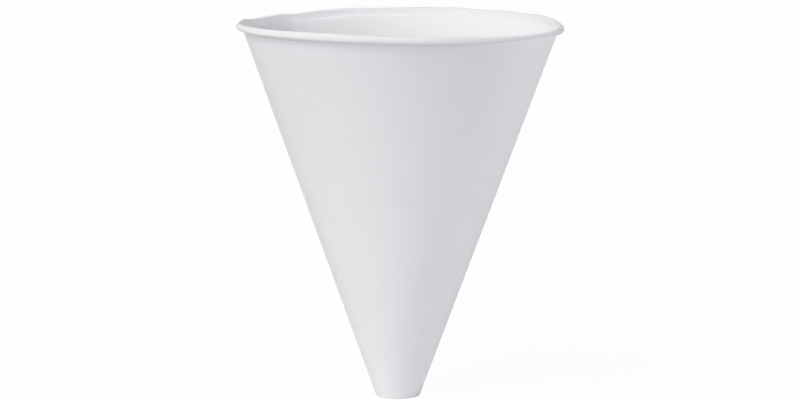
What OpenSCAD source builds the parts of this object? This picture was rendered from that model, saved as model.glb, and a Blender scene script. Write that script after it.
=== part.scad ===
// Cone paper cup with a rolled rim, wound from one sheet of paper.
// The cup stands on the ring of its cut tip: origin at the ring's centre, +Z up the cone's axis.

/* [Cup] */
// Height from the cut tip to the top of the rolled rim
height = 118; // [90:1:150]
// Diameter over the rolled rim
rim_d = 100; // [80:1:130]
// Outer diameter of the cut tip
tip_d = 13.8; // [8:0.2:24]

/* [Sheet] */
// Thickness of the paper
paper = 0.35; // [0.2:0.05:0.5]
// Width of the glued side lap, measured round the rim
lap_w = 24; // [10:1:40]
// Bearing of the sheet's inner edge, seen from above
seam_bearing = 136; // [0:1:359]

/* [Rim] */
// Diameter of the rolled bead
roll_d = 2; // [1.6:0.1:3]
// Turn of the curl, from the inside of the mouth round to the sheet's edge
curl_turn = 300; // [240:5:310]
// Height of the lip, from the crease inside the mouth to the top of the roll
lip_h = 2.4; // [2.2:0.1:4]
// Outward step of the paper at the crease
crease_step = 0.25; // [0.05:0.05:0.5]

/* [Hidden] */
$fn = 180;

// Share of the paper's thickness by which the two plies are pressed together at the glued lap
press_share = 0.1;
// Slope of the crease's narrow shoulder, from the vertical
shoulder_slope = 50;

rim_r = rim_d / 2;
tip_r = tip_d / 2;
roll_r = roll_d / 2;
roll_z = height - roll_r;
roll_centre_r = rim_r - roll_r;
lip_r = rim_r - roll_d + paper;
crease_r = lip_r - crease_step;
crease_z = height - lip_h;
lip_z = crease_z + crease_step / tan(shoulder_slope);
wall_slope = atan2(crease_r - tip_r, crease_z);
wall_across = paper / cos(wall_slope);
ply_step = paper * (1 - press_share);
lap_turn = lap_w / lip_r * 180 / PI;

// The point one paper thickness inside corner, where a stretch of slope below meets one of slope above
function inside(corner, below, above) =
    let (mean = (below + above) / 2)
    corner + paper / cos((above - below) / 2) * [-cos(mean), sin(mean)];

// The sheet's straight stretches: the cone's wall, the shoulder of the crease and the upright lip
module wall_section() {
    tip = [tip_r, 0];
    crease = [crease_r, crease_z];
    shoulder = [lip_r, lip_z];
    lip_top = [lip_r, roll_z];
    polygon([
        tip,
        crease,
        shoulder,
        lip_top,
        lip_top - [paper, 0],
        inside(shoulder, shoulder_slope, 0),
        inside(crease, wall_slope, shoulder_slope),
        tip - [wall_across, 0]
    ]);
}

// The curl: from the lip over the top, down outside and back in under itself, hollow and open at its edge
module curl_section() {
    open_turn = 360 - curl_turn;
    translate([roll_centre_r, roll_z])
        difference() {
            circle(roll_r);
            circle(roll_r - paper);
            polygon([
                [0, 0],
                for (part = [0 : 2]) let (a = 180 + open_turn * part / 2) roll_d * [cos(a), sin(a)]
            ]);
        }
}

// One ply of the sheet, turned round the axis from the sheet's inner edge and set out from its own place
module ply(turn, out) {
    rotate_extrude(angle = turn)
        translate([out, 0]) {
            wall_section();
            curl_section();
        }
}

// The sheet starts at its inner edge, runs once round the cup and laps over its own start by one ply.
// The half-turn before the lap has its axis moved half a ply towards the seam, so it grows out by one ply.
module paper_cone() {
    color("white")
        rotate([0, 0, seam_bearing]) {
            ply(-180, 0);
            translate([ply_step / 2, 0, 0])
                ply(180, ply_step / 2);
            ply(-lap_turn, ply_step);
        }
}

paper_cone();
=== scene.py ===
import math

import bpy
from mathutils import Matrix, Vector


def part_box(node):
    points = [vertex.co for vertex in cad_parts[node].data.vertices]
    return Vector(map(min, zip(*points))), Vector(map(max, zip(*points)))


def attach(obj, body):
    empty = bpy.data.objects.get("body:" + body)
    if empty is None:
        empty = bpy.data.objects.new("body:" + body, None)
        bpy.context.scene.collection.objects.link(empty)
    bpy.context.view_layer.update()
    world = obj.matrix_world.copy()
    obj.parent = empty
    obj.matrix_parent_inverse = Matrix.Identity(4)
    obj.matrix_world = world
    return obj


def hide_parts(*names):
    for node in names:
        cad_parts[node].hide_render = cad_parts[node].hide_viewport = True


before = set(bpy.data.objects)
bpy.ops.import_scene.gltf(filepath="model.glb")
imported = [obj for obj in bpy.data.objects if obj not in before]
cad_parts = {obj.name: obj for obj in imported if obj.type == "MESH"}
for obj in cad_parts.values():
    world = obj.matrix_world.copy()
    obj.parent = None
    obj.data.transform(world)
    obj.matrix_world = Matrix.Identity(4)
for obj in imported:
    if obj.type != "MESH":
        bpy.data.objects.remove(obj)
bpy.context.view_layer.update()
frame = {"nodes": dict(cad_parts)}  # metres, +Z up the cone's axis, the cup standing on its cut tip
print("frame loaded:", ", ".join(frame["nodes"]))

mm = 0.001


# Colours are written as sRGB hex, and turned to linear by the standard's own formula
def hexColour(code):
    parts = [int(code[i:i + 2], 16) / 255 for i in (1, 3, 5)]
    linear = [c / 12.92 if c <= 0.04045 else ((c + 0.055) / 1.055) ** 2.4 for c in parts]
    return (*linear, 1)


# Adds a node, sets its fields and sockets, and links sockets to other nodes' outputs
def addNode(tree, kind, settings=None, links=None):
    node = tree.nodes.new(kind)
    for key, value in (settings or {}).items():
        if isinstance(key, str) and hasattr(node, key):
            setattr(node, key, value)
        else:
            node.inputs[key].default_value = value
    for key, source in (links or {}).items():
        tree.links.new(source, node.inputs[key])
    return node


def newMaterial(name):
    material = bpy.data.materials.new(name)
    material.use_nodes = True
    material.node_tree.nodes.clear()
    return material, material.node_tree


# Bleached cup paper: machine-made kraft sheet, uncoated and dry, so the eye sees a matt, even white
# with the faintest cloudiness, and some of the light in the mouth glows through the thin wall
cupPaper = {
    "white": "#F6F6F6",
    "thin": "#F5F5F5",          # where the sheet's formation is thin
    "cloud": 7 * mm,            # size of the fibre clouds
    "cloudDetail": 3,
    "cloudRoughness": 0.55,
    "cloudRange": (0.35, 0.65),  # the noise values that are all thin and all white
    "fibre": 0.9 * mm,          # fibres are about 0.03 mm wide: drawn coarser, or they wouldn't show
    "fibreStretch": 3.0,        # along the cone, the way the sheet ran on the machine
    "fibreDetail": 4,
    "fibreTwist": 0.6,          # how far the fibres wander
    "felt": 0.35 * mm,          # the felt's fine tooth
    "feltDetail": 2,
    "roughness": 0.82,
    "roughnessSpread": 0.06,
    "ior": 1.5,
    "specular": 0.2,            # dry fibres scarcely shine
    "bump": 0.012 * mm,         # height of the tooth
    "bumpStrength": 0.35,
    "lightDepth": 0.7 * mm,     # how far light spreads in the sheet: about a fifth comes through
}


def makeCupPaper(s):
    material, tree = newMaterial("bleachedCupPaper")
    place = addNode(tree, "ShaderNodeTexCoord").outputs["Object"]
    along = addNode(tree, "ShaderNodeMapping", {"Scale": (1, 1, 1 / s["fibreStretch"])},
                    {"Vector": place})
    cloud = addNode(tree, "ShaderNodeTexNoise",
                    {"Scale": 1 / s["cloud"], "Detail": s["cloudDetail"], "Roughness": s["cloudRoughness"]},
                    {"Vector": place})
    fibre = addNode(tree, "ShaderNodeTexNoise",
                    {"Scale": 1 / s["fibre"], "Detail": s["fibreDetail"], "Distortion": s["fibreTwist"]},
                    {"Vector": along.outputs["Vector"]})
    felt = addNode(tree, "ShaderNodeTexNoise", {"Scale": 1 / s["felt"], "Detail": s["feltDetail"]},
                   {"Vector": place})
    tone = addNode(tree, "ShaderNodeMapRange",
                   {"From Min": s["cloudRange"][0], "From Max": s["cloudRange"][1]},
                   {"Value": cloud.outputs["Fac"]})
    colour = addNode(tree, "ShaderNodeMix",  # its colour sockets are 6 and 7 in, and 2 out
                     {"data_type": "RGBA", 6: hexColour(s["thin"]), 7: hexColour(s["white"])},
                     {0: tone.outputs["Result"]})
    grain = addNode(tree, "ShaderNodeMath", {"operation": "ADD"},
                    {0: fibre.outputs["Fac"], 1: felt.outputs["Fac"]})
    bump = addNode(tree, "ShaderNodeBump", {"Strength": s["bumpStrength"], "Distance": s["bump"]},
                   {"Height": grain.outputs["Value"]})
    gloss = addNode(tree, "ShaderNodeMapRange",
                    {"To Min": s["roughness"] - s["roughnessSpread"],
                     "To Max": s["roughness"] + s["roughnessSpread"]},
                    {"Value": fibre.outputs["Fac"]})
    shader = addNode(tree, "ShaderNodeBsdfPrincipled",
                     {"IOR": s["ior"], "Specular IOR Level": s["specular"], "Subsurface Weight": 1,
                      "Subsurface Radius": (1, 1, 1), "Subsurface Scale": s["lightDepth"]},
                     {"Base Color": colour.outputs[2], "Roughness": gloss.outputs["Result"],
                      "Normal": bump.outputs["Normal"]})
    addNode(tree, "ShaderNodeOutputMaterial", {}, {"Surface": shader.outputs["BSDF"]})
    print("cup paper made")
    return material


# The cup: one sheet, wound once round and lapped, its upper edge curled outward into the rim.
# Bearings are in degrees, counterclockwise from +X, and a turn is how many degrees a thing takes
cupSheet = {
    "paper": 0.35 * mm,
    "tipWidth": 13.8 * mm,      # over the cut tip
    "tipCut": 0.7 * mm,         # lower points than this are the tip's cut edge
    "wallRows": 32,

    "seamBearing": 136,         # of the sheet's inner edge
    "lapWidth": 24 * mm,
    "turnSteps": 432,
    "climbTurn": 70,            # in which the sheet climbs onto its own start
    "glue": 0.01 * mm,
    "edgePress": 0.3,           # share of the paper's thickness pressed out of the lap's inner edge
    "edgeRound": 0.05 * mm,     # of all cut edges
    "edgeSegments": 2,
    "edgeAngle": 60,            # sharper corners than this are cut edges
    "smoothAngle": 40,          # flatter corners than this are shaded smooth

    "rollWidth": 2.0 * mm,      # over the rolled bead
    "curlTurn": 300,            # from the mouth's side round to the cut edge
    "curlRows": 30,
    "curlFull": 0.5,            # at the front left the bead is fuller below than a round one
    "fullBearing": -145,
    "fullTurn": 65,             # to each side, in which that dies away
    "curlFlat": 0.42,           # at the front right this share of the bead's width is pressed flat
    "flatBearing": -54,
    "flatTurn": 38,             # to each side

    "lipHeight": 2.6 * mm,      # from the crease inside the mouth to the top of the roll
    "lipRows": 4,
    "lipFlare": 0.45 * mm,      # over the lap the lip leans out by this much more than the wall
    "flareBearing": 158,
    "flareTurn": 38,            # to each side
    "creaseRise": 0.40 * mm,    # height of the crease's ledge
    "creaseRows": 8,
    "creaseStep": 0.34 * mm,    # width of the ledge: the wall is pressed in under it
    "creaseFade": 6 * mm,       # down the wall, in which the press dies away
    # where the wall is pressed in: bearing, turn to each side, and the turn at each end in which it starts
    "creases": (
        (126, 60, 35),
        (-143, 32, 20),
    ),
    # where the crease runs higher or lower: bearing, turn to each side, and the rise
    "creaseSlides": (
        (151, 20, 0.45 * mm),
        (121, 18, -0.40 * mm),
    ),
    "nicks": (108, 163),        # bearings where the lip was pinched: the second is the lap's outer edge
    "nick": 0.20 * mm,
    "nickStart": 1,             # the turn in which a nick starts
    "nickTurn": 16,             # the turn in which it dies away
    "lipTuck": 0.06 * mm,       # past the first nick the lip's foot stands out, so the lip leans in
    "tuckTurn": 20,

    "squeeze": 1.82 * mm,       # the thin mouth isn't round: it is wider one way and narrower the other
    "squeezeBearing": -32,
    "wave": 0.25 * mm,          # and a little three-cornered
    "waveBearing": 4,
    # where the rim is uneven: bearing, turn to each side, lift of the roll's top and of its underside
    "lifts": (
        (19, 21, 0.43 * mm, 0.43 * mm),
        (57, 12, -0.25 * mm, -0.25 * mm),
        (113, 22, 0.50 * mm, 0.50 * mm),
        (152, 18, -0.45 * mm, -0.45 * mm),
        (166, 6, 0.25 * mm, 0.25 * mm),
        (173, 8, -0.25 * mm, -0.25 * mm),
        (-154, 24, 0, -0.08 * mm),
        (-120, 28, 0.28 * mm, -0.10 * mm),
        (-85, 50, 0.32 * mm, -0.20 * mm),
        (-35, 32, 0, 0.85 * mm),
    ),
    "liftReach": 15 * mm,       # down the wall, in which the lifts die away
    "slideEnd": 0.67,           # share of the roll's height where the lip stops sliding along the wall
}


def clamp(x):
    return min(max(x, 0), 1)


def smoothStep(x):
    x = clamp(x)
    return x * x * (3 - 2 * x)


def bearingOf(place):
    return math.degrees(math.atan2(place.y, place.x))


def turnAway(bearing, middle):
    return abs((bearing - middle + 180) % 360 - 180)


# 1 at the middle bearing, dying away in the turn to each side
def hump(bearing, middle, turn):
    return smoothStep(1 - turnAway(bearing, middle) / turn)


# Rises in the starting turn and dies away in the other one
def trail(past, start, turn):
    return smoothStep(past / start) * smoothStep(1 - (past - start) / turn)


# Moves a point away from the cone's axis, and up
def movePoint(point, out, up):
    point.co.xy *= 1 + out / point.co.xy.length
    point.co.z += up


# Draws the sheet's section on its mouth side, from the tip up to the curl's cut edge, in the XZ plane
def drawSection(s, height, rimRadius):
    rollRadius = s["rollWidth"] / 2
    roll = Vector((rimRadius - rollRadius, 0, height - rollRadius))
    tip = Vector((s["tipWidth"] / 2 - s["paper"], 0, 0))
    toRoll = roll - tip
    slope = math.atan2(toRoll.x, toRoll.z) - math.asin(rollRadius / toRoll.length)  # touches the roll
    along = Vector((math.sin(slope), 0, math.cos(slope)))
    lipTop = roll + rollRadius * Vector((-along.z, 0, along.x))
    crease = lipTop - along * (lipTop.z - height + s["lipHeight"]) / along.z
    shoulder = crease + along * s["creaseRise"] / along.z

    bpy.ops.object.select_all(action="DESELECT")
    bpy.ops.mesh.primitive_plane_add(size=s["paper"])
    section = bpy.context.object
    bpy.ops.object.mode_set(mode="EDIT")
    bpy.ops.mesh.merge(type="CENTER")  # the plane closes to the section's first point
    bpy.ops.transform.translate(value=tip)
    start = tip
    for end, rows in ((crease, s["wallRows"]), (shoulder, s["creaseRows"]), (lipTop, s["lipRows"])):
        for _ in range(rows):
            bpy.ops.mesh.extrude_region_move(TRANSFORM_OT_translate={"value": (end - start) / rows})
        start = end
    bpy.ops.mesh.spin(steps=s["curlRows"], angle=slope - math.radians(s["curlTurn"]), axis=(0, 1, 0),
                      center=roll, use_auto_merge=False)  # spin counts clockwise
    bpy.ops.object.mode_set(mode="OBJECT")
    return section, slope, roll


# Tells the curl from the wall and lip, as long as the mouth is round
def isCurl(s, place, roll):
    return math.hypot(place.xy.length - roll.x, place.z - roll.z) < s["rollWidth"] / 2 + s["glue"]


# Winds the section round the axis, counterclockwise from the seam, past its own start by the lap
def windSheet(s, sheet, rimRadius, slope, roll):
    sectionCount = len(sheet.data.vertices)
    lapTurn = math.degrees(s["lapWidth"] / (rimRadius - s["rollWidth"] + s["paper"]))
    stepTurn = (360 + lapTurn) / s["turnSteps"]
    bpy.ops.object.mode_set(mode="EDIT")
    bpy.ops.mesh.select_all(action="SELECT")
    bpy.ops.transform.rotate(value=-math.radians(s["seamBearing"]), orient_axis="Z",
                             center_override=(0, 0, 0))
    bpy.ops.mesh.spin(steps=s["turnSteps"], angle=-math.radians(360 + lapTurn), axis=(0, 0, 1),
                      center=(0, 0, 0), use_auto_merge=False)
    bpy.ops.mesh.select_all(action="SELECT")
    bpy.ops.mesh.normals_make_consistent(inside=False)
    bpy.ops.object.mode_set(mode="OBJECT")

    points = sheet.data.vertices
    outward = [point.normal.copy() for point in points]
    if outward[0].xy.dot(points[0].co.xy) < 0:  # the first point is at the tip
        sheet.data.flip_normals()
        outward = [-normal for normal in outward]
    for i, point in enumerate(points):
        turn = i // sectionCount * stepTurn  # spin adds its steps in order
        climb = smoothStep((turn - 360 + s["climbTurn"]) / s["climbTurn"]) * (s["paper"] + s["glue"])
        if isCurl(s, point.co, roll):  # in the curl the outer ply lies inside the first
            point.co += outward[i] * climb
        else:
            movePoint(point, climb / math.cos(slope), 0)
    print("sheet wound:", len(points), "points,", round(lapTurn, 1), "degrees of lap")


# The rim as rolling left it: the wall pressed in under a ledge, the lip flared over the lap, and two nicks
def pressRim(s, sheet, height, slope, roll):
    creaseHeight = height - s["lipHeight"]
    lipTop = roll.z + s["rollWidth"] / 2 * math.sin(slope)
    ledgeToRoll = lipTop - creaseHeight - s["creaseRise"]
    for point in sheet.data.vertices:
        if isCurl(s, point.co, roll):
            continue
        bearing = bearingOf(point.co)
        above = point.co.z - creaseHeight
        fade = clamp(1 + above / s["creaseFade"]) ** 2
        fade *= clamp(1 - (above - s["creaseRise"]) / ledgeToRoll)
        sharp = max(smoothStep((turn - turnAway(bearing, middle)) / start)
                    for middle, turn, start in s["creases"])
        slide = sum(rise * hump(bearing, middle, turn) for middle, turn, rise in s["creaseSlides"])
        flare = s["lipFlare"] * hump(bearing, s["flareBearing"], s["flareTurn"])
        tuck = s["lipTuck"] * trail(bearing - s["nicks"][0] + s["nickStart"], s["nickStart"], s["tuckTurn"])
        press = smoothStep(above / s["creaseRise"]) * (s["creaseStep"] + tuck) - s["creaseStep"] - flare
        out = (press * sharp + slide * math.tan(slope)) * fade
        midLip = smoothStep(1 - abs(1 - 2 * above / (lipTop - creaseHeight)))
        pinch = sum(trail(nick - bearing, s["nickStart"], s["nickTurn"]) for nick in s["nicks"])
        movePoint(point, out - s["nick"] * pinch * midLip, slide * fade)
    print("rim pressed:", len(s["creases"]), "creases,", len(s["nicks"]), "nicks")


# The thin mouth gives a little in the hand: wider one way, narrower the other, and its roll uneven
def squeezeMouth(s, sheet, height, slope, roll):
    rollRadius = s["rollWidth"] / 2
    rollLow = height - s["rollWidth"]
    for point in sheet.data.vertices:
        bearing = bearingOf(point.co)
        curl = isCurl(s, point.co, roll)
        out = s["squeeze"] * math.cos(2 * math.radians(bearing - s["squeezeBearing"]))
        out += s["wave"] * math.cos(3 * math.radians(bearing - s["waveBearing"]))
        out *= point.co.z / height
        up = -out * math.tan(slope)

        reach = smoothStep((point.co.z - rollLow + s["liftReach"]) / s["liftReach"])
        rollShare = clamp((point.co.z - rollLow) / s["rollWidth"])
        lift = reach * sum(hump(bearing, middle, turn) * (low + (top - low) * rollShare)
                           for middle, turn, top, low in s["lifts"])
        up += lift
        if curl:
            across = point.co.xy.length - roll.x
            flat = s["curlFlat"] * hump(bearing, s["flatBearing"], s["flatTurn"]) * reach
            out -= flat * (across + rollRadius * math.cos(slope))
            outside = max(across, 0)
            below = max(roll.z - point.co.z, 0)
            fuller = s["curlFull"] * hump(bearing, s["fullBearing"], s["fullTurn"])
            fuller *= outside * below / rollRadius ** 2
            out += fuller * outside
            up -= fuller * below
        else:
            slide = 1 - smoothStep(rollShare / s["slideEnd"])
            out += lift * slide * math.tan(slope)  # the wall slides along itself
        movePoint(point, out, up)
    print("mouth squeezed:", len(s["lifts"]), "uneven places")


def applyModifier(piece, name, kind, settings):
    modifier = piece.modifiers.new(name, kind)
    for key, value in settings.items():
        setattr(modifier, key, value)
    bpy.context.view_layer.objects.active = piece
    bpy.ops.object.modifier_apply(modifier=name)


def makeCupSheet(s, material):
    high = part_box("paper_cone")[1]
    height = high.z
    rimRadius = high.x  # the sheet's first ply, where no lap is
    sheet, slope, roll = drawSection(s, height, rimRadius)
    sheet.name = sheet.data.name = "cup_sheet"
    sectionCount = len(sheet.data.vertices)
    windSheet(s, sheet, rimRadius, slope, roll)
    pressRim(s, sheet, height, slope, roll)
    squeezeMouth(s, sheet, height, slope, roll)
    innerCount = len(sheet.data.vertices)
    applyModifier(sheet, "paperThickness", "SOLIDIFY",
                  {"thickness": s["paper"], "offset": 1, "use_even_offset": False, "use_rim": True})
    points = sheet.data.vertices
    # The first section is the lap's inner edge, and the outer face's points follow all the inner ones
    for i in range(sectionCount):
        points[i].co = points[i].co.lerp(points[i + innerCount].co, s["edgePress"])
    for point in points:  # the tip is cut square: its edge slides down the wall to the floor
        if point.co.z < s["tipCut"]:
            movePoint(point, -point.co.z * math.tan(slope), -point.co.z)
    applyModifier(sheet, "cutEdges", "BEVEL",
                  {"width": s["edgeRound"], "segments": s["edgeSegments"], "limit_method": "ANGLE",
                   "angle_limit": math.radians(s["edgeAngle"])})
    bpy.ops.object.select_all(action="DESELECT")
    sheet.select_set(True)
    bpy.ops.object.shade_smooth_by_angle(angle=math.radians(s["smoothAngle"]))
    sheet.data.materials.clear()
    sheet.data.materials.append(material)
    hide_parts("paper_cone")
    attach(sheet, "root")
    print("cup sheet made:", len(sheet.data.polygons), "faces")


makeCupSheet(cupSheet, makeCupPaper(cupPaper))


# 1 where the eye looks, straight or in gloss or glass, and 0 for the light that falls on things
def seenByEye(tree):
    path = addNode(tree, "ShaderNodeLightPath").outputs
    orGloss = addNode(tree, "ShaderNodeMath", {"operation": "MAXIMUM"},
                      {0: path["Is Camera Ray"], 1: path["Is Glossy Ray"]})
    orGlass = addNode(tree, "ShaderNodeMath", {"operation": "MAXIMUM"},
                      {0: orGloss.outputs["Value"], 1: path["Is Transmission Ray"]})
    return orGlass.outputs["Value"]


# A plain white table, seen as white, which keeps the cup's soft shadow
table = {
    "size": 12.0,               # metres
    "white": "#E6E6E6",
    "glow": 0.97,               # share of plain white that the eye sees
}


def makeTable(s):
    material, tree = newMaterial("whiteTable")
    share = addNode(tree, "ShaderNodeMath", {"operation": "MULTIPLY", 1: s["glow"]}, {0: seenByEye(tree)})
    matt = addNode(tree, "ShaderNodeBsdfDiffuse", {"Color": hexColour(s["white"])})
    plain = addNode(tree, "ShaderNodeEmission", {"Strength": 1})
    mix = addNode(tree, "ShaderNodeMixShader", {},
                  {0: share.outputs["Value"], 1: matt.outputs["BSDF"], 2: plain.outputs["Emission"]})
    addNode(tree, "ShaderNodeOutputMaterial", {}, {"Surface": mix.outputs["Shader"]})

    bpy.ops.object.select_all(action="DESELECT")
    bpy.ops.mesh.primitive_plane_add(size=s["size"])
    floor = bpy.context.object
    floor.name = "table"
    floor.data.materials.append(material)
    print("table made")


makeTable(table)


# Soft studio light: two lamps high on the viewer's left, and pale walls that shine low across the table
studio = {
    "room": "#EEF1F8",
    "roomStrength": 0.067,
    # azimuth from the viewer towards the right, elevation and apparent size, all in degrees, then the light
    "lamps": {
        "keyLamp": {"azimuth": -48, "elevation": 40, "spread": 24, "light": 1.28, "colour": "#FFFEFA"},
        "topLamp": {"azimuth": -54, "elevation": 66, "spread": 20, "light": 0.74, "colour": "#FFFEFA"},
        "leftWall": {"azimuth": -60, "elevation": 10, "spread": 20, "light": 0.67, "colour": "#F2F4FF"},
        "frontWall": {"azimuth": 0, "elevation": 10, "spread": 20, "light": 0.475, "colour": "#F2F4FF"},
        "rightCorner": {"azimuth": 48, "elevation": 10, "spread": 20, "light": 0.53, "colour": "#F2F4FF"},
        "rightWall": {"azimuth": 90, "elevation": 10, "spread": 20, "light": 0.65, "colour": "#F2F4FF"},
    },
}


def makeRoom(s):
    world = bpy.data.worlds.new("studioRoom")
    bpy.context.scene.world = world
    world.use_nodes = True
    tree = world.node_tree
    tree.nodes.clear()
    room = addNode(tree, "ShaderNodeBackground",
                   {"Color": hexColour(s["room"]), "Strength": s["roomStrength"]})
    plain = addNode(tree, "ShaderNodeBackground", {"Color": (1, 1, 1, 1), "Strength": 1})
    mix = addNode(tree, "ShaderNodeMixShader", {},
                  {0: seenByEye(tree), 1: room.outputs["Background"], 2: plain.outputs["Background"]})
    addNode(tree, "ShaderNodeOutputWorld", {}, {"Surface": mix.outputs["Shader"]})


def makeLamp(name, s):
    azimuth = math.radians(s["azimuth"])
    elevation = math.radians(s["elevation"])
    level = math.cos(elevation)
    away = Vector((math.sin(azimuth) * level, -math.cos(azimuth) * level, math.sin(elevation)))
    lamp = bpy.data.lights.new(name, "SUN")
    lamp.angle = math.radians(s["spread"])
    lamp.energy = s["light"]
    lamp.color = hexColour(s["colour"])[:3]
    holder = bpy.data.objects.new(name, lamp)
    bpy.context.collection.objects.link(holder)
    holder.rotation_euler = away.to_track_quat("Z", "Y").to_euler()


makeRoom(studio)
for lampName, lampSettings in studio["lamps"].items():
    makeLamp(lampName, lampSettings)
print("studio light set:", len(studio["lamps"]), "lamps")


# The camera looks a little down at the cup from the front
camera = {
    "place": (0, -0.900, 0.2065),  # metres
    "focal": 2908.5,            # in pixels of the 800 wide image
    "imageWidth": 800,
    "sensor": 36.0,             # millimetres, as is the lens
    "pitch": 9.11,              # degrees down
    "yaw": -0.032,
    "roll": 0.17,
}


def makeCamera(s):
    lens = bpy.data.cameras.new("camera")
    lens.sensor_width = s["sensor"]
    lens.lens = s["focal"] / s["imageWidth"] * s["sensor"]
    holder = bpy.data.objects.new("camera", lens)
    bpy.context.collection.objects.link(holder)
    turn = Matrix.Rotation(math.radians(s["yaw"]), 4, "Z")
    turn = turn @ Matrix.Rotation(math.radians(90 - s["pitch"]), 4, "X")
    turn = turn @ Matrix.Rotation(math.radians(s["roll"]), 4, "Z")
    holder.location = s["place"]
    holder.rotation_euler = turn.to_euler()
    bpy.context.scene.camera = holder
    print("camera set, lens", round(lens.lens, 1), "mm")


makeCamera(camera)

bpy.context.scene.view_settings.view_transform = "Standard"
